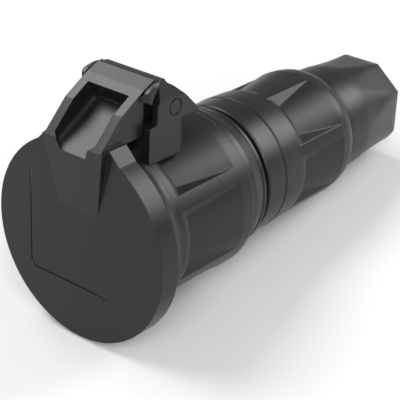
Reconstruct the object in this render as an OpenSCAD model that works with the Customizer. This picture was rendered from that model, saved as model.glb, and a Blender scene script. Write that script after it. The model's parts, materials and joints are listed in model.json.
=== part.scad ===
// Trailing socket for a cord: a round earthed socket in a soft housing, with a sprung hinged lid
// at the front and a screw-on rear cap that grips the cord. All sizes are in millimetres.
// The X axis runs along the body towards the cord, with x = 0 at the mouth of the plug recess.
// The hinge is at the top, towards +Z.

/* [Lid] */
// Play between the lid's rim and the hinge frame's ring
lid_play = 0.65; // [0.5:0.05:1]
// Depth of the lid's rim along the body
lid_t = 6.2; // [5.6:0.1:7]
// How far the rim reaches back past the mouth
lid_lap = 1.6; // [1.2:0.1:1.8]
// Thickness of the lid's face plate
lid_wall = 2.2; // [2:0.1:2.8]
// Thickness of the lid's rim
lid_rim_wall = 1.8; // [1.4:0.1:2.2]
// Height of the raised panel above the face, where it meets the hinge block
panel_rise = 2.5; // [2:0.1:3.4]
// Height above the axis at which the raised panel runs out into the face
panel_end_z = 9; // [6:0.5:14]
// Deepest part of the shallow cornered step in the lid's face
face_step = 0.5; // [0.3:0.1:0.8]
// Width of the sealing ring inside the lid
seal_w = 2.8; // [2:0.1:3]

/* [Hinge] */
// Half width of the hinge block
hinge_half_w = 9.55; // [9:0.05:10.5]
// Distance of the hinge pin behind the mouth
pin_x = 18.7; // [18.4:0.1:19.4]
// Height of the hinge pin above the lid's rim
pin_rise = 5.25; // [5.05:0.05:5.75]
// Radius of the hinge pin
pin_r = 1.95; // [1.6:0.05:2.1]
// Radius of the lid's knuckle round the pin
knuckle_r = 4.4; // [3.8:0.1:4.6]
// Thickness of each ear of the hinge frame
ear_w = 1.8; // [1.6:0.1:2.6]
// Radius of the spring's wire
spring_wire_r = 0.4; // [0.3:0.05:0.45]
// Turns of the lid spring
spring_turns = 6; // [3:1:7]
// Half width of the thumb recess in the hinge block
thumb_half_w = 6.85; // [6:0.05:7.4]
// Slope of the thumb recess's floor, in degrees
thumb_slope = 30.4; // [26:0.2:34]
// How far the bar's rounded ends stand out from the hinge block
cheek_w = 1.85; // [1.2:0.05:2]

/* [Socket] */
// Radius of the plug recess
recess_r = 19.5; // [19.3:0.1:19.6]
// Depth of the plug recess
recess_depth = 17.5; // [16.5:0.1:18]
// Wall of the socket insert
insert_wall = 1.2; // [1:0.1:1.2]
// Thickness of the recess floor
floor_t = 4.5; // [4.3:0.1:5]
// Distance between the two pin holes
pin_pitch = 19; // [18.6:0.1:19.4]
// Radius of each pin hole in the recess floor
pin_hole_r = 3; // [2.95:0.05:3.2]
// Bore radius of each contact sleeve
contact_bore_r = 2.35; // [2.3:0.05:2.5]
// Wall of each contact sleeve
contact_wall = 0.95; // [0.8:0.05:1.1]
// Thickness of the earth strap and its spring clips
strap_t = 0.8; // [0.6:0.1:1]
// Width of the earth strap
strap_w = 5; // [4.4:0.1:5.4]
// Radius of the terminal screws
screw_r = 1.7; // [1.5:0.1:1.8]

/* [Front housing] */
// Wall of the front housing at its grip
body_wall = 2.65; // [2.5:0.05:3]
// Distance from the mouth to the rear edge of the front housing
body_len = 39.5; // [39:0.1:41]
// Wall of the hinge frame's nose inside the lid
nose_wall = 1.15; // [1:0.05:1.4]
// How far the hinge frame's ring stands out behind the lid
frame_ring_w = 1.4; // [1:0.1:1.6]
// Depth of the hinge frame's ring along the body
frame_ring_len = 4.8; // [4:0.1:5.4]
// Depth of the grip pockets at their front step
pocket_depth = 1.95; // [1.4:0.05:2.05]
// Number of grip pockets round the front housing
pocket_count = 6; // [6:1:7]
// Distance from the mouth to the front step of the pockets
pocket_x = 10.5; // [10:0.1:12]
// Length of the grip pockets
pocket_len = 24.5; // [20:0.5:26]
// Half angle of each pocket between its ribs, as seen from the axis
pocket_half_angle = 24.8; // [22:0.2:25]

/* [Coupling collar] */
// Step from the front housing down to the collar's front ring
ring_drop = 1.1; // [0.6:0.1:1.4]
// Step from the front ring down to the collar's rear lip
lip_drop = 1.3; // [0.8:0.1:1.6]
// Distance from the rear edge of the front housing to the end of the collar's lip
ring_len = 8.9; // [8.4:0.1:9.4]
// Wall of the threaded neck
neck_wall = 2.4; // [2.2:0.1:2.6]
// Length of the threaded neck behind the lip
neck_len = 13.6; // [12.6:0.1:14]
// Width of the shoulder inside the collar, in front of the neck
collar_shoulder = 5.5; // [5.3:0.1:5.8]

/* [Rear cap] */
// Gap between the collar's lip and the rear cap
cap_gap = 2.6; // [2.2:0.1:3]
// Wall of the rear cap's front ring round the neck
cap_ring_w = 2.4; // [2.2:0.1:2.8]
// Length of the cap's plain front ring
cap_ring_len = 7.5; // [7:0.1:8]
// Length of the whole rear cap
cap_len = 44.4; // [43.6:0.1:46]
// Depth of the rear grip pockets
cap_pocket_depth = 2.05; // [1.4:0.05:2.1]
// Distance from the cap's front edge to the step of its pockets
cap_pocket_x = 15.9; // [15.4:0.1:17]
// Length of the cap's pockets
cap_pocket_len = 21.5; // [19:0.5:22]
// Turn of the tightened cap about the body's axis, in degrees
cap_turn = 9; // [0:1:20]
// Step inside the cap, behind its thread
cap_step = 1.6; // [1.5:0.05:1.7]

/* [Cord entry] */
// Wall of the rubber seal round the cord
cord_seal_wall = 2.5; // [2:0.1:3.2]
// Length of the tail sleeve behind the cap
tail_len = 31.7; // [28:0.1:36]
// How far the tail sleeve stands out over the cap's bore
tail_step = 0.8; // [0.5:0.1:1]
// Drop of the tail sleeve's radius from the cap to its round end
tail_taper = 1.7; // [1.3:0.1:2]
// Depth of the tail's flats at its end
tail_flat_cut = 2; // [1.6:0.1:2.3]
// Number of fingers on the clamping ring
claw_count = 8; // [6:1:10]

/* [Hidden] */

$fn = 96;
eps = 0.01;
big = 100;
fit_gap = 0.05;
run_gap = 0.08;
free_gap = 0.3;

rubber = [0.17, 0.17, 0.16];
plastic = [0.2, 0.2, 0.2];
dark_seal = [0.07, 0.07, 0.07];
insert_grey = [0.42, 0.42, 0.42];
brass = [0.75, 0.6, 0.3];
steel = [0.7, 0.7, 0.72];

// Radii from the recess out to the lid's rim, and the lid's stack along X
insert_r = recess_r + insert_wall;
bore_r = insert_r + fit_gap;
body_r = bore_r + body_wall;
frame_bore_r = body_r + fit_gap;
nose_r = frame_bore_r + nose_wall;
frame_ring_r = nose_r + frame_ring_w;
lid_r = frame_ring_r + lid_play + lid_rim_wall;
pin_z = lid_r + pin_rise;
lid_face_x = lid_lap - lid_t;
lid_back_x = lid_face_x + lid_wall;
seal_gap = 0.25;
seal_r = nose_r - 0.4;
shoulder_z = lid_r + 0.15;
shoulder_half_w = hinge_half_w + 0.75;
shoulder_drop = 3.45;
panel_foot_half_w = shoulder_half_w - 3.8;

// Hinge block in side view: from the panel, over the crease and the bar, to its top edge
block_front_x = lid_face_x - panel_rise;
block_front_z = lid_r - 0.35;
crease_x = pin_x - 18;
crease_z = pin_z + 2.2;
bar_x = pin_x - 10;
bar_z = pin_z + 6.8;
block_top_x = pin_x - 5.9;
block_top_z = pin_z + 8.6;
block_rear_x = pin_x - 9.5;
neck_top_x = pin_x - 2.2;
neck_top_z = pin_z + 7.75;
block_foot_z = lid_r - 0.5;
strip_t = 1.2;
side_inset = 0.35;
thumb_floor_x = pin_x - 9.8;
thumb_floor_z = pin_z + 0.7;
thumb_len = 18.4;
thumb_corner = 3;
thumb_fillet = 0.8;
thumb_side_r = 1.6;
cheek_half_w = hinge_half_w + cheek_w;
cheek_round = 2;
groove_w = 0.45;
groove_depth = 1.1;
web_half_w = hinge_half_w - 2.35;
knuckle_half_w = hinge_half_w - 0.05;
trough_r = knuckle_r + 0.4;
slot_r = knuckle_r + 0.5;
spring_pitch = 2 * spring_wire_r + 0.05;
spring_coil_r = pin_r + spring_wire_r + 0.5;
spring_reach_r = spring_coil_r + spring_wire_r;
spring_half_w = spring_turns * spring_pitch / 2;
slot_half_w = spring_half_w + 0.6;

// Hinge frame: ring round the housing's nose, base and ears
ear_in = knuckle_half_w + free_gap;
ear_out = ear_in + ear_w;
ear_reach = 9.3;
cheek_clear_r = ear_reach + free_gap;
base_top_z = pin_z - 3.1;
base_x0 = pin_x - 9.8;
base_mid_x = block_rear_x + free_gap;
base_side_x = pin_x + 2.2;
base_rear_x = pin_x + 9.7;
lean_z = pin_z + 2.9;
lean_top_z = pin_z + 8.3;
lean = 1.45;

// Core inside the front housing
insert_len = recess_depth + floor_t;
carrier_x = insert_len + fit_gap;
carrier_r = insert_r - 0.1;
carrier_disc_t = 4;
carrier_skirt_t = 1.2;
contact_r = contact_bore_r + contact_wall;
tower_r = contact_r + 1.9;
spigot_len = 3.4;
collar_x0 = body_len - spigot_len;
carrier_len = collar_x0 - carrier_x - fit_gap;
terminal_x = collar_x0 + 1.5;
terminal_len = 7.5;
terminal_w = 6.6;
terminal_h = 7.6;
earth_z = -pin_pitch / 2;
strap_x = carrier_x;
strap_groove = strap_t + 0.2;
strap_end_z = recess_r - 0.1;
clip_in_z = strap_end_z - 3;
clip_tip_x = 4.2;
centre_head_r = 3.2;
centre_head_t = 1.6;
centre_shank_r = 1.45;
guide_w = 4;
guide_h = 1.6;

// Neck, cap and tail
ring_r = body_r - ring_drop;
lip_r = ring_r - lip_drop;
neck_bore_r = insert_r - collar_shoulder;
neck_r = neck_bore_r + neck_wall;
ring_x = body_len + 0.2;
lip_x = body_len + ring_len;
neck_end = lip_x + neck_len;
collar_bore_r = insert_r - 3.5;
cap_r = neck_r + cap_ring_w;
cap_bore_r = neck_r - cap_step;
joint_seal_r = neck_r + 1.1;
cap_x = lip_x + cap_gap;
cap_end = cap_x + cap_len;
cap_thread_r = neck_r + run_gap;
cap_step_x = neck_end + 1.5;
cap_land_r = cap_r - 0.25;
cap_shoulder_len = 7;
cap_wall_slope = 16;
cap_seat_r = cap_thread_r + 0.9;
cap_core_r = cap_bore_r + 1;
grip_x = cap_x + cap_ring_len + 0.3;
ridge_x = cap_end - 4.2;
ridge_w = 1.4;
ridge_h = 0.7;
sleeve_seat_len = 7.1;
thrust_len = 7.6;
sleeve_bore_x = cap_end - sleeve_seat_len;
sleeve_seat_r = cap_bore_r - 0.3;
sleeve_r = sleeve_seat_r - 0.1;
thrust_x0 = sleeve_bore_x - thrust_len;
thrust_x1 = sleeve_bore_x - 0.15;
claw_x0 = neck_end + fit_gap;
claw_tip_x = thrust_x0 + 3.6;
claw_root_r = cap_bore_r - 1.4;
claw_end_r = claw_root_r - 2.4;
claw_slot = 1.6;
claw_seat_len = 4;
claw_wall = 3.2;
cord_seal_r = claw_end_r - claw_wall;
cord_r = cord_seal_r - cord_seal_wall;
claw_bore_r = cord_seal_r + 0.1;
tail_x0 = cap_end + free_gap;
tail_end = tail_x0 + tail_len;
tail_round_len = 10.7;
tail_mid_x = tail_x0 + tail_round_len;
tail_r = cap_bore_r + tail_step;
tail_mid_r = tail_r - 0.35;
tail_end_r = tail_r - tail_taper;
tail_flat_r = tail_end_r - tail_flat_cut;
tail_flat_turns = [-90, 0, 40, 90];
cord_bore_len = 12;
funnel_r = sleeve_r - 3;

// Turns children about the body's X axis, from a profile of [radius, x] points
module turned(profile) {
    rotate([0, 90, 0]) rotate_extrude() polygon(profile);
}

// A rod along X from x0 to x1
module rod_x(r, x0, x1) {
    translate([x0, 0, 0]) rotate([0, 90, 0]) cylinder(r = r, h = x1 - x0);
}

// A rod along Y, centred on the XZ plane
module rod_y(r, half_w) {
    rotate([90, 0, 0]) cylinder(r = r, h = 2 * half_w, center = true);
}

// A slab of half width half_w whose side view is a list of [x, z] points
module side_slab(points, half_w) {
    rotate([90, 0, 0]) linear_extrude(2 * half_w, center = true) polygon(points);
}

// A slab whose front view is a list of [y, z] points, from x0 to x1
module front_slab(points, x0, x1) {
    translate([x0, 0, 0]) rotate([90, 0, 90]) linear_extrude(x1 - x0) polygon(points);
}

// Points of a rolled edge: from a tangent at [r, x], dropping by depth with radius roll
function rolled_edge(r, x, depth, roll, steps = 6) =
    let (sweep = acos(1 - depth / roll))
    [for (i = [0:steps]) [r - roll * (1 - cos(sweep * i / steps)), x + roll * sin(sweep * i / steps)]];

// Points of a hollow flare that falls from [r0, x0] and runs out at [r1, x1]
function flare(r0, x0, r1, x1, steps = 7) =
    [for (i = [0:steps]) [r1 + (r0 - r1) * pow(1 - i / steps, 2), x0 + (x1 - x0) * i / steps]];

// Grip pockets: a rolled front step, a floor that rises to the rear, and slanted rib walls
module grip_pockets(r, x, len, depth, half_angle, count, turn, wall_slope = 18, roll = 5) {
    edge = rolled_edge(r, x, depth, roll);
    land_u = r * cos(half_angle);
    land_v = r * sin(half_angle);
    reach = land_v + 5;
    rise = tan(wall_slope);
    intersection() {
        turned(concat([[r + 5, x]], edge, [[r, x + len], [r + 5, x + len]]));
        union() {
            for (i = [0:count - 1]) {
                rotate([turn + i * 360 / count, 0, 0])
                    rotate([0, 90, 0])
                        linear_extrude(x + len + 1)
                            polygon([[land_u - land_v * rise, 0], [land_u + (reach - land_v) * rise, reach],
                                     [r + 10, reach], [r + 10, -reach],
                                     [land_u + (reach - land_v) * rise, -reach]]);
            }
        }
    }
}

// Front housing: soft sleeve with grip pockets
module front_housing() {
    color(rubber) difference() {
        turned([[bore_r, 0], [body_r, 0], [body_r, pocket_x + pocket_len], [body_r, body_len - 0.5],
                [body_r - 0.15, body_len - 0.15], [body_r - 0.5, body_len], [bore_r, body_len]]);
        grip_pockets(body_r, pocket_x, pocket_len, pocket_depth, pocket_half_angle, pocket_count, -90);
    }
}

// Hinge base: a block on the housing, straight at the sides and drawn in towards the rear
module hinge_base() {
    bridge_z = frame_bore_r + 1.4;
    difference() {
        intersection() {
            side_slab([[base_x0, 0], [base_x0, base_top_z - 0.4], [base_x0 + 0.4, base_top_z],
                       [base_rear_x - 0.6, base_top_z], [base_rear_x + 2.6, base_top_z - 6.2],
                       [base_rear_x + 2.6, 0]], ear_out);
            linear_extrude(base_top_z + 1)
                polygon([[base_x0 - 1, -ear_out], [base_side_x, -ear_out], [base_rear_x + 3, -ear_out + 7],
                         [base_rear_x + 3, ear_out - 7], [base_side_x, ear_out], [base_x0 - 1, ear_out]]);
        }
        // Room between the ears for the rear of the hinge block
        translate([base_mid_x - big, -ear_in, block_foot_z - free_gap]) cube([big, 2 * ear_in, big]);
    }
    side_slab([[frame_ring_len - 1, 0], [frame_ring_len - 1, bridge_z], [base_x0 + 1, bridge_z], [base_x0 + 1, 0]],
              hinge_half_w - 1);
}

// Side view of one ear, from its front foot over the top to its rear foot
module ear_side(half_w) {
    side_slab([[base_x0, base_top_z - 0.5], [pin_x - 7.2, base_top_z + 0.3], [pin_x - 6.9, pin_z - 2.1],
               [pin_x - 6.8, pin_z + 2.1], [pin_x - 6.1, pin_z + 2.8], [pin_x - 5.7, pin_z + 4.8],
               [pin_x - 5.5, pin_z + 6.9], [pin_x - 5.1, pin_z + 7.7], [pin_x - 4.1, pin_z + 8.2], [pin_x - 0.1, pin_z + 5.7],
               [pin_x + 4, pin_z + 2.4], [pin_x + 8.3, pin_z - 1.8], [base_rear_x, base_top_z - 0.5]], half_w);
}

// Both ears, whose outer faces lean in towards the top
module ears() {
    difference() {
        ear_side(ear_out);
        translate([0, -ear_in, 0]) cube([base_mid_x, 2 * ear_in, big]);
        translate([0, -ear_in, base_top_z]) cube([big, 2 * ear_in, big]);
        for (side = [-1, 1]) {
            front_slab([[side * ear_out, lean_z], [side * (ear_out - lean), lean_top_z],
                        [side * (ear_out - lean), big], [side * big, big], [side * big, lean_z]], 0, big);
        }
    }
}

// Hinge frame: rigid ring round the housing's nose, with the hinge base and its two ears
module hinge_frame() {
    color(plastic) difference() {
        union() {
            turned(concat([[frame_bore_r - 2, 0], [nose_r - 0.3, 0], [nose_r, 0.3], [nose_r, lid_lap + 0.3],
                           [frame_ring_r, lid_lap + 0.3]],
                          flare(frame_ring_r, frame_ring_len - 1.2, frame_bore_r + 0.4, frame_ring_len + 3.8),
                          [[frame_bore_r - 2, frame_ring_len + 3.8]]));
            hinge_base();
            ears();
        }
        rod_x(frame_bore_r, -1, body_len);
        translate([pin_x, 0, pin_z]) rod_y(pin_r + 0.02, big);
        translate([pin_x, 0, pin_z]) rod_y(trough_r, ear_in);
        for (side = [-1, 1]) {
            translate([pin_x, side * ear_out, pin_z]) rod_y(pin_r + 0.45, 0.35);
        }
    }
}

// Outline of the lid's disc with its two 45 degree shoulders under the hinge block
module lid_disc() {
    rod_x(lid_r, lid_face_x, lid_lap);
    front_slab([[-shoulder_half_w - shoulder_drop, 0],
                [-shoulder_half_w - shoulder_drop, shoulder_z - shoulder_drop],
                [-shoulder_half_w, shoulder_z], [shoulder_half_w, shoulder_z],
                [shoulder_half_w + shoulder_drop, shoulder_z - shoulder_drop],
                [shoulder_half_w + shoulder_drop, 0]], lid_face_x, lid_lap);
}

// Front view of the bar with both of its rounded ends
module bar_front_view() {
    round_y = cheek_half_w - cheek_round;
    round_z = block_top_z - 0.2 - cheek_round;
    translate([-cheek_half_w, 0]) square([2 * cheek_half_w, round_z]);
    translate([-round_y, 0]) square([2 * round_y, round_z + cheek_round]);
    for (side = [-1, 1]) {
        translate([side * round_y, round_z]) circle(r = cheek_round);
    }
}

// View of the bar from above, with round front corners
module bar_top_view() {
    round_y = cheek_half_w - cheek_round;
    front_x = bar_x - 1.3;
    translate([front_x + cheek_round, -cheek_half_w]) square([big, 2 * cheek_half_w]);
    translate([front_x, -round_y]) square([2 * cheek_round, 2 * round_y]);
    for (side = [-1, 1]) {
        translate([front_x + cheek_round, side * round_y]) circle(r = cheek_round);
    }
}

// Rounded ends of the bar, cut back clear of the ears
module cheeks() {
    difference() {
        intersection() {
            side_slab([[bar_x - 1.3, pin_z + 4.3], [bar_x - 1.3, bar_z - 1.6], [bar_x - 0.4, bar_z - 0.4],
                       [bar_x + 0.7, bar_z + 0.3], [block_top_x, block_top_z - 0.2], [block_top_x + 1, block_top_z - 0.8],
                       [block_top_x + 1, pin_z + 2.1], [pin_x - 7.7, pin_z + 2.6]], cheek_half_w);
            rotate([90, 0, 90]) linear_extrude(big) bar_front_view();
            linear_extrude(big) bar_top_view();
        }
        translate([pin_x, 0, pin_z]) rod_y(cheek_clear_r, big);
    }
}

// Hinge block with its front frame, side walls, bar, web and knuckle
module hinge_block() {
    // Front frame plate, at the full width
    side_slab([[block_front_x, block_front_z], [crease_x, crease_z], [bar_x, bar_z], [block_top_x, block_top_z],
               [block_top_x - 0.4, block_top_z - 1.2], [bar_x + 0.2, bar_z - strip_t - 0.3],
               [crease_x + strip_t, crease_z - strip_t], [block_front_x + 2 * strip_t, block_front_z - 0.4]],
              hinge_half_w);
    // Body behind the frame, a little narrower
    side_slab([[lid_face_x, block_foot_z - 2], [block_front_x + 0.3, block_front_z - 0.3], [crease_x, crease_z - 0.5],
               [bar_x, bar_z - 0.5], [block_top_x - 0.2, block_top_z - 0.6], [block_top_x - 1.2, block_top_z - 2.4],
               [block_rear_x, pin_z + 3.3], [block_rear_x, block_foot_z], [lid_lap, block_foot_z],
               [lid_lap, block_foot_z - 2]], hinge_half_w - side_inset);
    cheeks();
    // Web that runs back to the knuckle, under a top plate of the knuckle's width
    side_slab([[block_rear_x - 1, base_top_z + 0.7], [block_rear_x - 1, pin_z + 4], [block_top_x - 0.4, block_top_z - 0.8],
               [neck_top_x - 0.4, neck_top_z - 0.8], [pin_x, pin_z], [pin_x - 3.4, base_top_z + 0.7]], web_half_w);
    side_slab([[block_rear_x, pin_z + 3.4], [block_top_x - 0.4, block_top_z - 0.3], [neck_top_x - 0.7, neck_top_z + 0.2],
               [neck_top_x, neck_top_z], [neck_top_x + 0.4, neck_top_z - 0.6], [pin_x + 1.2, pin_z + knuckle_r - 0.2],
               [pin_x, pin_z], [pin_x - 4.1, pin_z + 1.5], [pin_x - 7.6, pin_z + 5]], knuckle_half_w);
    translate([pin_x, 0, pin_z]) rod_y(knuckle_r, knuckle_half_w);
}

// Thin grooves that part the bar's top face from its rounded ends
module bar_grooves() {
    for (side = [-1, 1]) {
        translate([0, side * (hinge_half_w + groove_w / 2), 0])
            side_slab([[bar_x - 3, bar_z - 1.2], [bar_x + groove_depth / 2, bar_z - groove_depth],
                       [block_top_x + groove_depth / 2, block_top_z - groove_depth],
                       [block_top_x + 3, block_top_z - 2], [block_top_x + 3, big], [bar_x - 3, big]], groove_w / 2);
    }
}

// Thumb recess: a sloping floor, square to its back wall, with cut corners where it runs out
module thumb_recess() {
    floor_half_w = thumb_half_w - thumb_side_r;
    translate([thumb_floor_x, 0, thumb_floor_z]) rotate([0, -thumb_slope, 0]) {
        intersection() {
            linear_extrude(big)
                polygon([[-thumb_fillet, -thumb_half_w], [-thumb_len + thumb_corner, -thumb_half_w],
                         [-thumb_len, -thumb_half_w + thumb_corner], [-thumb_len, thumb_half_w - thumb_corner],
                         [-thumb_len + thumb_corner, thumb_half_w], [-thumb_fillet, thumb_half_w]]);
            // Round inner corners along both sides of the floor
            translate([-big, 0, 0]) rotate([90, 0, 90]) linear_extrude(2 * big) union() {
                translate([-floor_half_w, 0]) square([2 * floor_half_w, big]);
                translate([-thumb_half_w, thumb_side_r]) square([2 * thumb_half_w, big]);
                for (side = [-1, 1]) {
                    translate([side * floor_half_w, thumb_side_r]) circle(r = thumb_side_r);
                }
            }
        }
        translate([-thumb_fillet - eps, -thumb_half_w, thumb_fillet])
            cube([thumb_fillet + eps, 2 * thumb_half_w, big]);
    }
}

// Shallow cornered step in the lid's face: two walls that meet in a round corner and fade away
module face_corner_step() {
    step_y = 16.9;
    step_z = -13.2;
    fade_y = -11.7;
    fade_z = 8.2;
    corner_r = 2;
    run = norm([step_y - fade_y, fade_z - step_z]);
    intersection() {
        translate([lid_face_x - 1, 0, 0]) rotate([90, 0, 90]) linear_extrude(1 + face_step) union() {
            translate([fade_y, step_z + corner_r]) square([step_y - fade_y, big]);
            translate([fade_y, step_z]) square([step_y - corner_r - fade_y, big]);
            translate([step_y - corner_r, step_z + corner_r]) circle(r = corner_r);
        }
        // A plane that is flush along the diagonal and deepest at the corner
        translate([lid_face_x, fade_y, step_z])
            rotate([atan2(fade_z - step_z, step_y - fade_y), 0, 0])
                rotate([0, 0, -atan2(face_step * run, (step_y - fade_y) * (fade_z - step_z))])
                    translate([-big, -big, -big]) cube([big, big, 2 * big]);
    }
}

// Lid: face plate and rim, raised panel, hinge block and knuckles
module lid() {
    color(plastic) difference() {
        union() {
            lid_disc();
            intersection() {
                side_slab([[block_front_x, block_front_z], [lid_face_x, panel_end_z], [lid_face_x + 1, panel_end_z],
                           [lid_face_x + 1, shoulder_z], [lid_face_x, shoulder_z]], big);
                front_slab([[-panel_foot_half_w, panel_end_z], [panel_foot_half_w, panel_end_z],
                            [shoulder_half_w, shoulder_z], [-shoulder_half_w, shoulder_z]],
                           block_front_x - 1, lid_face_x + 1);
            }
            hinge_block();
        }
        rod_x(lid_r - lid_rim_wall, lid_back_x, lid_lap + eps);
        thumb_recess();
        bar_grooves();
        face_corner_step();
        translate([pin_x, 0, pin_z]) rod_y(pin_r + run_gap, big);
        translate([pin_x, 0, pin_z]) rod_y(slot_r, slot_half_w);
    }
}

// Sealing ring held inside the lid
module lid_seal() {
    color(dark_seal) difference() {
        rod_x(seal_r, lid_back_x, -seal_gap);
        rod_x(seal_r - seal_w, lid_back_x - 1, 1);
    }
}

module hinge_pin() {
    color(steel) translate([pin_x, 0, pin_z]) rod_y(pin_r, ear_out - 0.05);
}

// Torsion spring round the pin: close turns, one leg down on the base and one up behind the lid's web
module lid_spring() {
    leg_y = spring_half_w - spring_wire_r;
    down = sqrt(trough_r * trough_r - spring_reach_r * spring_reach_r) - 0.1;
    up = sqrt(slot_r * slot_r - spring_reach_r * spring_reach_r) - 0.15;
    color(steel) translate([pin_x, 0, pin_z]) {
        for (i = [0:spring_turns - 1]) {
            translate([0, (i - (spring_turns - 1) / 2) * spring_pitch, 0])
                rotate([90, 0, 0]) rotate_extrude($fn = 48) translate([spring_coil_r, 0]) circle(r = spring_pitch / 2 + eps, $fn = 16);
        }
        translate([spring_coil_r, leg_y, -down]) cylinder(r = spring_wire_r, h = down, $fn = 16);
        translate([-spring_coil_r, -leg_y, 0]) cylinder(r = spring_wire_r, h = up, $fn = 16);
    }
}

// Slots through the recess floor for the two earth clips
module clip_slots() {
    for (side = [-1, 1]) {
        translate([recess_depth - 1, -strap_w / 2 - 0.3, side * (strap_end_z - 0.8) - 1.3])
            cube([floor_t + 2, strap_w + 0.6, 2.6]);
    }
}

// Socket insert: recess cup with its floor, pin holes, clip slots and two guide ribs
module socket_insert() {
    color(insert_grey) difference() {
        union() {
            difference() {
                rod_x(insert_r, 0, insert_len);
                rod_x(recess_r, -1, recess_depth);
            }
            for (side = [-1, 1]) {
                translate([1.5, side * (recess_r + insert_wall / 2) - (side > 0 ? guide_h + insert_wall / 2 : 0), -guide_w / 2])
                    cube([recess_depth, guide_h + insert_wall / 2, guide_w]);
            }
        }
        for (side = [-1, 1]) {
            translate([0, side * pin_pitch / 2, 0]) rod_x(pin_hole_r, recess_depth - 1, insert_len + 1);
        }
        intersection() {
            clip_slots();
            rod_x(recess_r + 0.3, recess_depth - 1, insert_len + 1);
        }
        rod_x(centre_head_r + 0.2, recess_depth - 1, recess_depth + centre_head_t + 0.2);
        rod_x(centre_shank_r + 0.15, recess_depth, insert_len + 1);
    }
}

// Screw in the middle of the recess floor, with a cross slot
module centre_screw() {
    head_x = recess_depth + 0.2;
    color(steel) difference() {
        union() {
            rod_x(centre_head_r, head_x, head_x + centre_head_t);
            rod_x(centre_shank_r, head_x + 1, carrier_x + carrier_disc_t + 2);
        }
        for (a = [0, 90]) {
            rotate([a, 0, 0]) translate([head_x - 1, -0.4, -2]) cube([1.8, 0.8, 4]);
        }
    }
}

// Contact carrier: disc, outer skirt, two towers round the contact sleeves and a web between them
module contact_carrier() {
    color(insert_grey) difference() {
        union() {
            rod_x(carrier_r, carrier_x, carrier_x + carrier_disc_t);
            difference() {
                rod_x(carrier_r, carrier_x, carrier_x + carrier_len);
                rod_x(carrier_r - carrier_skirt_t, carrier_x + 1, carrier_x + carrier_len + 1);
            }
            for (side = [-1, 1]) {
                translate([0, side * pin_pitch / 2, 0]) rod_x(tower_r, carrier_x, carrier_x + carrier_len);
            }
            translate([carrier_x, -pin_pitch / 2, -1.2]) cube([carrier_len - 4, pin_pitch, 2.4]);
            rod_x(3, carrier_x, carrier_x + carrier_disc_t + 3);
        }
        for (side = [-1, 1]) {
            translate([0, side * pin_pitch / 2, 0]) rod_x(contact_r + 0.15, carrier_x - 1, carrier_x + carrier_len + 1);
        }
        translate([carrier_x - 1, -strap_w / 2 - 0.2, -strap_end_z - 0.2])
            cube([1 + strap_groove, strap_w + 0.4, 2 * strap_end_z + 0.4]);
        translate([carrier_x - 1, -strap_w / 2 - 0.2, earth_z - strap_t / 2 - 0.2])
            cube([carrier_disc_t + 2, strap_w + 0.4, strap_t + 0.4]);
        rod_x(centre_shank_r + 0.02, carrier_x - 1, carrier_x + carrier_disc_t + 2.2);
    }
}

// Terminal block with a hole for the wire from the rear and a screw hole from the top
module terminal_block() {
    difference() {
        translate([terminal_x, -terminal_w / 2, -terminal_h / 2]) cube([terminal_len, terminal_w, terminal_h]);
        translate([0, 0, -1]) rod_x(1.6, terminal_x + 1.5, terminal_x + terminal_len + 1);
        translate([terminal_x + terminal_len / 2, 0, 0]) cylinder(r = screw_r + 0.02, h = big);
    }
}

// Slotted contact sleeve with its terminal block
module contact(side) {
    color(brass) translate([0, side * pin_pitch / 2, 0]) {
        difference() {
            rod_x(contact_r, carrier_x, terminal_x + 1);
            rod_x(contact_bore_r, carrier_x - 1, terminal_x - 1.5);
            translate([carrier_x - 1, -contact_r - 1, -0.4]) cube([13, 2 * contact_r + 2, 0.8]);
        }
        terminal_block();
    }
}

module line_contact() {
    contact(-1);
}

module neutral_contact() {
    contact(1);
}

// Slotted cheese-head screw seated in a terminal block
module terminal_screw() {
    top = terminal_h / 2;
    color(steel) translate([terminal_x + terminal_len / 2, 0, 0]) difference() {
        union() {
            translate([0, 0, 0.8]) cylinder(r = screw_r, h = top + 0.5 - 0.8);
            translate([0, 0, top + 0.05]) cylinder(r = screw_r + 1, h = 2);
        }
        translate([-big / 2, -0.4, top + 1.2]) cube([big, 0.8, 2]);
    }
}

module line_screw() {
    translate([0, -pin_pitch / 2, 0]) terminal_screw();
}

module neutral_screw() {
    translate([0, pin_pitch / 2, 0]) terminal_screw();
}

module earth_screw() {
    translate([0, 0, earth_z]) terminal_screw();
}

// Earth strap: a bar behind the recess floor, two spring clips in the recess and a rear terminal
module earth_strap() {
    color(brass) {
        difference() {
            translate([strap_x, -strap_w / 2, -strap_end_z]) cube([strap_t, strap_w, 2 * strap_end_z]);
            rod_x(centre_shank_r + 0.15, strap_x - 1, strap_x + strap_t + 1);
        }
        for (side = [-1, 1]) {
            scale([1, 1, side]) side_slab([[strap_x + strap_t, strap_end_z], [recess_depth - 1, strap_end_z],
                [9, clip_in_z + strap_t], [clip_tip_x, strap_end_z - 1.2], [clip_tip_x, strap_end_z - 1.2 - strap_t],
                [9, clip_in_z], [recess_depth - 1, strap_end_z - strap_t], [strap_x + strap_t, strap_end_z - strap_t]],
                strap_w / 2);
        }
        translate([strap_x, -strap_w / 2, earth_z - strap_t / 2]) cube([terminal_x + 1 - strap_x, strap_w, strap_t]);
        translate([0, 0, earth_z]) terminal_block();
    }
}

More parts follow.
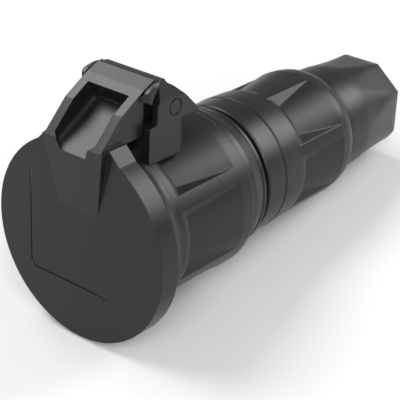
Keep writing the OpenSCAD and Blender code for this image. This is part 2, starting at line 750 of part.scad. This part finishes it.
// Coupling collar: spigot in the housing, stepped ring and lip in view, and the neck for the cap
module coupling_collar() {
    color(plastic) difference() {
        turned([[neck_bore_r - 2, collar_x0], [insert_r, collar_x0], [insert_r, ring_x], [ring_r - 0.2, ring_x],
                [ring_r, ring_x + 0.3], [ring_r - 0.1, ring_x + 2.8], [ring_r - 0.7, ring_x + 3.3],
                [lip_r - 0.2, lip_x - 1.6], [lip_r, lip_x - 1.3], [lip_r, lip_x - 0.3], [lip_r - 0.3, lip_x],
                [neck_r, lip_x], [neck_r, neck_end - 0.6], [neck_r - 0.6, neck_end], [neck_bore_r - 2, neck_end]]);
        rod_x(neck_bore_r, collar_x0 - 1, neck_end + 1);
        rod_x(collar_bore_r, collar_x0 - 1, lip_x - 3);
    }
}

// Flat seal ring on the neck, between the collar's lip and the cap
module joint_seal() {
    color(dark_seal) difference() {
        rod_x(joint_seal_r, lip_x + fit_gap, cap_x - free_gap);
        rod_x(neck_r + fit_gap, lip_x - 1, cap_x);
    }
}

// Rigid inner part of the rear cap: front ring, threaded bore and the seat of the grip
module cap_nut() {
    color(plastic) difference() {
        turned([[cap_thread_r - 3, cap_x], [cap_r - 0.4, cap_x], [cap_r, cap_x + 0.4], [cap_r, grip_x - 0.3],
                [cap_seat_r, grip_x - 0.3], [cap_seat_r, cap_step_x], [cap_core_r, cap_step_x + 1.4],
                [cap_core_r, cap_end - 0.7], [cap_bore_r - 3, cap_end - 0.7]]);
        rod_x(cap_thread_r, cap_x - 1, neck_end + 0.3);
        rod_x(cap_bore_r, cap_x - 1, sleeve_bore_x);
        difference() {
            rod_x(sleeve_seat_r, cap_x - 1, cap_end + 1);
            rod_x(big, ridge_x, ridge_x + ridge_w);
        }
        rod_x(sleeve_seat_r - ridge_h, cap_x - 1, cap_end + 1);
    }
}

// Soft outer grip of the rear cap, with its own pockets and a rounded rear shoulder
module cap_grip() {
    shoulder_x = cap_end - cap_shoulder_len;
    color(rubber) difference() {
        turned([[0, grip_x], [cap_r - 0.1, grip_x], [cap_r + 0.1, grip_x + 0.3], [cap_r, grip_x + 3],
                [cap_land_r, cap_x + cap_pocket_x], [cap_land_r, cap_x + cap_pocket_x + cap_pocket_len],
                [cap_land_r - 0.05, shoulder_x], [cap_land_r - 0.25, shoulder_x + 2.6], [cap_land_r - 0.65, shoulder_x + 4.4],
                [cap_land_r - 1.25, shoulder_x + 5.8], [cap_land_r - 1.9, shoulder_x + 6.7], [cap_land_r - 2.3, cap_end],
                [0, cap_end]]);
        grip_pockets(cap_land_r, cap_x + cap_pocket_x, cap_pocket_len, cap_pocket_depth,
                     pocket_half_angle, pocket_count, -90 + cap_turn, cap_wall_slope);
        turned([[0, grip_x - 1], [cap_seat_r + fit_gap, grip_x - 1], [cap_seat_r + fit_gap, cap_step_x],
                [cap_core_r + fit_gap, cap_step_x + 1.4], [cap_core_r + fit_gap, cap_end - 0.6],
                [sleeve_seat_r, cap_end - 0.6], [sleeve_seat_r, cap_end + 1], [0, cap_end + 1]]);
    }
}

// Clamping ring: a base ring seated on the neck and a ring of tapered fingers round the cord seal
module clamping_claws() {
    base_end = claw_x0 + 1.2;
    color(plastic) difference() {
        turned([[claw_bore_r, claw_x0 - claw_seat_len], [neck_bore_r - 0.1, claw_x0 - claw_seat_len], [neck_bore_r - 0.1, claw_x0],
                [cap_bore_r - 0.35, claw_x0], [cap_bore_r - 0.35, base_end], [claw_root_r, base_end],
                [claw_end_r, thrust_x0], [claw_end_r - 1.6, claw_tip_x], [claw_bore_r, claw_tip_x]]);
        for (i = [0:claw_count - 1]) {
            rotate([i * 360 / claw_count, 0, 0])
                translate([base_end + 2, -claw_slot / 2, 0]) cube([big, claw_slot, big]);
        }
    }
}

// Ribbed rubber seal round the cord, inside the clamping fingers
module cord_seal() {
    ribs = 4;
    rib_pitch = (claw_tip_x - claw_x0) / ribs;
    color(dark_seal) difference() {
        turned(concat([[cord_r, claw_x0]],
                      [for (i = [0:ribs - 1], p = [[0, 0], [0, 0.55], [0.7, 0.65], [0.7, 0.9]])
                          [cord_seal_r - p[0], claw_x0 + (i + p[1]) * rib_pitch]],
                      [[cord_seal_r - 0.7, claw_tip_x], [cord_r, claw_tip_x]]));
        rod_x(cord_r, 0, big * 2);
    }
}

// Thrust ring: a cone that closes the clamping fingers as the cap is screwed on
module thrust_ring() {
    cone_r = claw_end_r + 0.6;
    color(plastic) turned([[cone_r, thrust_x0 - 1], [cap_bore_r - 0.2, thrust_x0 - 1], [cap_bore_r - 0.2, thrust_x1],
                           [cord_seal_r + 0.5, thrust_x1], [cord_seal_r + 0.5, claw_tip_x + 0.5],
                           [cone_r - 1.6, claw_tip_x + 0.3], [cone_r, thrust_x0 + 0.2]]);
}

// Tail sleeve: soft cord entry, round at the cap, with flats on its top and sides that deepen to its end
module tail_sleeve() {
    flat_tilt = atan((tail_mid_r - tail_flat_r) / (tail_end - tail_mid_x));
    color(rubber) difference() {
        turned(concat([[0, sleeve_bore_x], [sleeve_r, sleeve_bore_x], [sleeve_r, ridge_x - 0.2],
                       [sleeve_r - ridge_h, ridge_x - 0.2], [sleeve_r - ridge_h, ridge_x + ridge_w + 0.2],
                       [sleeve_r, ridge_x + ridge_w + 0.2], [sleeve_r, tail_x0], [tail_r, tail_x0]],
                      flare(tail_mid_r, tail_mid_x, tail_end_r, tail_end - 0.4),
                      [[tail_end_r - 0.4, tail_end], [0, tail_end]]));
        turned([[0, sleeve_bore_x - 1], [funnel_r, sleeve_bore_x - 1], [funnel_r, tail_x0],
                [cord_r, tail_end - cord_bore_len], [0, tail_end - cord_bore_len]]);
        rod_x(cord_r, tail_x0, tail_end + 1);
        for (turn = tail_flat_turns) {
            rotate([turn, 0, 0])
                translate([tail_end, 0, tail_flat_r]) rotate([0, flat_tilt, 0])
                    translate([-big, -big / 2, 0]) cube([2 * big, big, big]);
        }
    }
}

front_housing();
hinge_frame();
lid();
lid_seal();
hinge_pin();
lid_spring();
socket_insert();
centre_screw();
contact_carrier();
line_contact();
neutral_contact();
earth_strap();
line_screw();
neutral_screw();
earth_screw();
coupling_collar();
joint_seal();
cap_nut();
cap_grip();
clamping_claws();
cord_seal();
thrust_ring();
tail_sleeve();
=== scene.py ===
"""Looks for the trailing socket: materials, floor, light and camera. Metres, in the CAD's frame.

All pieces are the CAD's own. The line on the lid's face is only a material, painted shade with a bump groove:
the solids have no step there.
"""

import bpy
import json
import math
from mathutils import Matrix, Vector

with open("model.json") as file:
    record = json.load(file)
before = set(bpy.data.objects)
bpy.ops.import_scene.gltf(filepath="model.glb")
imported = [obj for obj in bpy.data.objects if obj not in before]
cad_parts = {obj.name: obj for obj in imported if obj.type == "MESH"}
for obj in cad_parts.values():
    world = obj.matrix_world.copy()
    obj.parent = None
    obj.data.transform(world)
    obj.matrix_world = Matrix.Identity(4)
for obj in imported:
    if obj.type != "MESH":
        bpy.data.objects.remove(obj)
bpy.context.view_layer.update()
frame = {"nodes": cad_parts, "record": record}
nodes = frame["nodes"]

# Share of mirror-like reflection in the moulded materials
MOULDED_SPECULAR = 0.32
BEVEL_SAMPLES = 6

# Painted shade line on the lid's face, standing in for a step's shade: its place, corner radius, half width,
# length of each branch and depth
FACE_X = -0.0046
FACE_SKIN = 0.0006
FACE_LINE_Y = 0.0169
FACE_LINE_Z = -0.0132
FACE_LINE_R = 0.002
FACE_LINE_W = 0.00042
FACE_LINE_LEN = 0.0275
FACE_LINE_DEPTH = 0.0004
FACE_LINE_FADE = 3.0
# Near-black colour of the painted shade along the line
FACE_LINE_SHADE_TONE = (0.0005, 0.0005, 0.0005, 1)

# The socket lies on the lid's rim and on the rear cap, so in the body's frame the floor slopes
REST_FRONT = Vector((0.0016, 0, -0.02845))
REST_REAR = Vector((0.0905, 0, -0.01955))
FLOOR_GAP = 0.0002
FLOOR_SIZE = 6
FLOOR_TONE = (0.6, 0.6, 0.6, 1)

# Camera fitted to the photograph
CAMERA_PLACE = (-0.2352, -0.2192, 0.1741)
CAMERA_AZIMUTH = math.radians(38.01)
CAMERA_DOWN = math.radians(26.91)
CAMERA_ROLL = math.radians(2.56)
SENSOR_WIDTH = 36
FOCAL_LENGTH = 126.7
PICTURE_SIZE = 400

# Point that the softboxes face, their distance from it, and the light from all round
MIDDLE = Vector((0.045, 0, 0.01))
SOFTBOX_DISTANCE = 3.0
WORLD_STRENGTH = 0.34


def new_material(name):
    """An empty node material with its principled shader and output."""
    mat = bpy.data.materials.new(name)
    mat.use_nodes = True
    tree = mat.node_tree
    for n in list(tree.nodes):
        tree.nodes.remove(n)
    out = tree.nodes.new("ShaderNodeOutputMaterial")
    bsdf = tree.nodes.new("ShaderNodeBsdfPrincipled")
    tree.links.new(bsdf.outputs["BSDF"], out.inputs["Surface"])
    return mat, tree, bsdf


def add(tree, kind, **values):
    """A shader node with its input values set by name, an underscore standing for a space."""
    n = tree.nodes.new(kind)
    for key, value in values.items():
        n.inputs[key.replace("_", " ")].default_value = value
    return n


def moulded(name, dark, light, rough, rough_span, grain, grain_depth, edge):
    """Moulded rubber or plastic: two close tones, an uneven sheen, a fine spark-eroded grain and soft edges."""
    mat, tree, bsdf = new_material(name)
    link = tree.links.new
    where = tree.nodes.new("ShaderNodeTexCoord")
    cloud = add(tree, "ShaderNodeTexNoise", Scale=45.0, Detail=5.0, Roughness=0.6)
    link(where.outputs["Object"], cloud.inputs["Vector"])
    mix = tree.nodes.new("ShaderNodeMix")
    mix.data_type = "RGBA"
    mix.inputs["A"].default_value = (*dark, 1)
    mix.inputs["B"].default_value = (*light, 1)
    link(cloud.outputs["Fac"], mix.inputs["Factor"])
    link(mix.outputs["Result"], bsdf.inputs["Base Color"])
    sheen = add(tree, "ShaderNodeTexNoise", Scale=120.0, Detail=6.0, Roughness=0.65)
    link(where.outputs["Object"], sheen.inputs["Vector"])
    span = add(tree, "ShaderNodeMapRange", To_Min=rough - rough_span, To_Max=rough + rough_span)
    link(sheen.outputs["Fac"], span.inputs["Value"])
    link(span.outputs["Result"], bsdf.inputs["Roughness"])
    fine = add(tree, "ShaderNodeTexNoise", Scale=grain, Detail=3.0, Roughness=0.5)
    link(where.outputs["Object"], fine.inputs["Vector"])
    bump = add(tree, "ShaderNodeBump", Strength=0.35, Distance=grain_depth)
    link(fine.outputs["Fac"], bump.inputs["Height"])
    soft = add(tree, "ShaderNodeBevel", Radius=edge)
    soft.samples = BEVEL_SAMPLES
    link(soft.outputs["Normal"], bump.inputs["Normal"])
    link(bump.outputs["Normal"], bsdf.inputs["Normal"])
    bsdf.inputs["Specular IOR Level"].default_value = MOULDED_SPECULAR
    return mat


def metal(name, colour, rough):
    """Plain turned or drawn metal with fine streaks in its sheen."""
    mat, tree, bsdf = new_material(name)
    link = tree.links.new
    where = tree.nodes.new("ShaderNodeTexCoord")
    streak = add(tree, "ShaderNodeTexNoise", Scale=400.0, Detail=4.0)
    link(where.outputs["Object"], streak.inputs["Vector"])
    span = add(tree, "ShaderNodeMapRange", To_Min=rough - 0.08, To_Max=rough + 0.1)
    link(streak.outputs["Fac"], span.inputs["Value"])
    link(span.outputs["Result"], bsdf.inputs["Roughness"])
    bsdf.inputs["Metallic"].default_value = 1.0
    bsdf.inputs["Base Color"].default_value = (*colour, 1)
    return mat


def paint_face_line_shade(mat):
    """A fine line of painted shade in the lid's face: an upright and a level branch from a round corner, both
    fading out.
    """
    tree = mat.node_tree
    link = tree.links.new
    bsdf = next(n for n in tree.nodes if n.type == "BSDF_PRINCIPLED")

    def calc(kind, a, b=None, clamp=False):
        """The output of one math node, its inputs being numbers or other outputs."""
        n = tree.nodes.new("ShaderNodeMath")
        n.operation = kind
        n.use_clamp = clamp
        for i, v in enumerate((a, b)):
            if v is None:
                continue
            if isinstance(v, (int, float)):
                n.inputs[i].default_value = v
            else:
                link(v, n.inputs[i])
        return n.outputs["Value"]

    where = tree.nodes.new("ShaderNodeTexCoord")
    parts = tree.nodes.new("ShaderNodeSeparateXYZ")
    link(where.outputs["Object"], parts.inputs["Vector"])
    x, y, z = parts.outputs
    left = calc("SUBTRACT", FACE_LINE_Y - FACE_LINE_R, y)
    low = calc("SUBTRACT", FACE_LINE_Z + FACE_LINE_R, z)
    # Distance from the line with its rounded corner
    out_y = calc("MAXIMUM", calc("MULTIPLY", left, -1.0), 0.0)
    out_z = calc("MAXIMUM", low, 0.0)
    squares = calc("ADD", calc("MULTIPLY", out_y, out_y), calc("MULTIPLY", out_z, out_z))
    near = calc("ABSOLUTE", calc("SUBTRACT", calc("SQRT", squares), FACE_LINE_R))
    line = calc("SUBTRACT", 1.0, calc("DIVIDE", near, FACE_LINE_W), clamp=True)
    away = calc("ADD", calc("MAXIMUM", left, 0.0), calc("MAXIMUM", calc("MULTIPLY", low, -1.0), 0.0))
    fade = calc("SUBTRACT", 1.0, calc("POWER", calc("DIVIDE", away, FACE_LINE_LEN), FACE_LINE_FADE), clamp=True)
    on_face = calc("LESS_THAN", x, FACE_X + FACE_SKIN)
    painted_shade_mask = calc("MULTIPLY", calc("MULTIPLY", line, fade), on_face)
    # Painted shade: the base colour darkens to near black along the line
    colour = bsdf.inputs["Base Color"].links[0].from_socket
    mix = tree.nodes.new("ShaderNodeMix")
    mix.data_type = "RGBA"
    mix.inputs["B"].default_value = FACE_LINE_SHADE_TONE
    link(painted_shade_mask, mix.inputs["Factor"])
    link(colour, mix.inputs["A"])
    link(mix.outputs["Result"], bsdf.inputs["Base Color"])
    bump = next(n for n in tree.nodes if n.type == "BUMP")
    groove = add(tree, "ShaderNodeBump", Strength=1.0, Distance=FACE_LINE_DEPTH)
    groove.invert = True
    link(painted_shade_mask, groove.inputs["Height"])
    link(bump.outputs["Normal"], groove.inputs["Normal"])
    link(groove.outputs["Normal"], bsdf.inputs["Normal"])
    # Painted shade: the line loses its specular reflection
    painted_shade_specular = calc("MULTIPLY", calc("SUBTRACT", 1.0, painted_shade_mask), MOULDED_SPECULAR)
    link(painted_shade_specular, bsdf.inputs["Specular IOR Level"])


SOFT_BLACK = {"dark": (0.0062, 0.0060, 0.0056), "light": (0.0092, 0.0088, 0.0082), "rough": 0.36,
              "rough_span": 0.04, "grain": 5200.0, "grain_depth": 0.00002}
HARD_BLACK = {"dark": (0.0060, 0.0059, 0.0055), "light": (0.0085, 0.0083, 0.0078), "rough": 0.34,
              "rough_span": 0.04, "grain": 6400.0, "grain_depth": 0.000015}
SEAL_BLACK = {"dark": (0.006, 0.006, 0.006), "light": (0.010, 0.010, 0.010), "rough": 0.7,
              "rough_span": 0.05, "grain": 5200.0, "grain_depth": 0.00002}
INSERT_GREY = {"dark": (0.05, 0.05, 0.052), "light": (0.07, 0.07, 0.072), "rough": 0.5,
               "rough_span": 0.05, "grain": 6400.0, "grain_depth": 0.00001}

RUBBER = moulded("housing_rubber", edge=0.0005, **SOFT_BLACK)
PLASTIC = moulded("lid_plastic", edge=0.0003, **HARD_BLACK)
SEAL = moulded("seal_rubber", edge=0.0005, **SEAL_BLACK)
INSERT = moulded("insert_plastic", edge=0.0003, **INSERT_GREY)
BRASS = metal("contact_brass", (0.62, 0.43, 0.17), 0.3)
# The wide edge shades the tail's flats as if they ran into each other
TAIL = moulded("tail_rubber", edge=0.0045, **SOFT_BLACK)
STEEL = metal("screw_steel", (0.52, 0.52, 0.54), 0.3)
LID = moulded("lid_face_plastic", edge=0.0003, **HARD_BLACK)
# Paint the shade line into the lid's face
paint_face_line_shade(LID)
BY_NODE = {"lid": LID, "tail_sleeve": TAIL}
BY_SLOT = {"rubber": RUBBER, "plastic": PLASTIC, "seal": SEAL, "insert": INSERT, "brass": BRASS,
           "steel": STEEL, "pin": PLASTIC}

for entry in frame["record"]["subparts"]:
    obj = nodes[entry["node"]]
    for s in obj.material_slots:
        s.material = BY_NODE.get(entry["node"], BY_SLOT[entry["material_slot"]])

slope = math.atan2(REST_REAR.z - REST_FRONT.z, REST_REAR.x - REST_FRONT.x)
bpy.ops.mesh.primitive_plane_add(size=FLOOR_SIZE)
floor = bpy.context.object
floor.name = "studio_floor"
floor.matrix_world = Matrix.Translation(REST_FRONT - Vector((0, 0, FLOOR_GAP))) @ Matrix.Rotation(-slope, 4, "Y")
floor_mat, _, floor_bsdf = new_material("floor_paper")
floor_bsdf.inputs["Base Color"].default_value = FLOOR_TONE
floor_bsdf.inputs["Roughness"].default_value = 0.9
floor.data.materials.append(floor_mat)

across = Vector((math.cos(CAMERA_AZIMUTH), math.sin(CAMERA_AZIMUTH), 0))
forward = across * math.cos(CAMERA_DOWN) - Vector((0, 0, math.sin(CAMERA_DOWN)))
level_right = Vector((math.sin(CAMERA_AZIMUTH), -math.cos(CAMERA_AZIMUTH), 0))
level_up = level_right.cross(forward)
right = level_right * math.cos(CAMERA_ROLL) + level_up * math.sin(CAMERA_ROLL)
up = -level_right * math.sin(CAMERA_ROLL) + level_up * math.cos(CAMERA_ROLL)
camera_data = bpy.data.cameras.new("photo_camera")
camera = bpy.data.objects.new("photo_camera", camera_data)
bpy.context.collection.objects.link(camera)
turn = Matrix((right, up, -forward)).transposed().to_4x4()
camera.matrix_world = Matrix.Translation(CAMERA_PLACE) @ turn
camera_data.sensor_width = SENSOR_WIDTH
camera_data.lens = FOCAL_LENGTH
bpy.context.scene.camera = camera


def softbox(name, towards, size, radiance, colour):
    """A rectangular light of the given radiance, in the direction towards from the socket's middle."""
    data = bpy.data.lights.new(name, "AREA")
    data.shape = "RECTANGLE"
    data.size, data.size_y = size
    data.energy = radiance * math.pi * size[0] * size[1]
    data.color = colour
    lamp = bpy.data.objects.new(name, data)
    bpy.context.collection.objects.link(lamp)
    place = MIDDLE + Vector(towards).normalized() * SOFTBOX_DISTANCE
    facing = (MIDDLE - place).to_track_quat("-Z", "Y").to_matrix().to_4x4()
    lamp.matrix_world = Matrix.Translation(place) @ facing


softbox("back_warm", (0.74, -0.41, 0.53), (1.5, 1.6), 7.2, (1.0, 0.985, 0.95))
softbox("top_cool", (-0.13, 0.57, 0.80), (2.3, 1.2), 9.0, (0.955, 0.975, 1.0))
softbox("camera_fill", (-0.68, -0.60, 0.52), (2.4, 2.0), 7.0, (1.0, 0.99, 0.98))

world = bpy.data.worlds.new("studio")
bpy.context.scene.world = world
world.use_nodes = True
world.node_tree.nodes["Background"].inputs["Color"].default_value = (1, 1, 1, 1)
world.node_tree.nodes["Background"].inputs["Strength"].default_value = WORLD_STRENGTH

scene = bpy.context.scene
scene.render.resolution_x = PICTURE_SIZE
scene.render.resolution_y = PICTURE_SIZE
scene.view_settings.view_transform = "Standard"
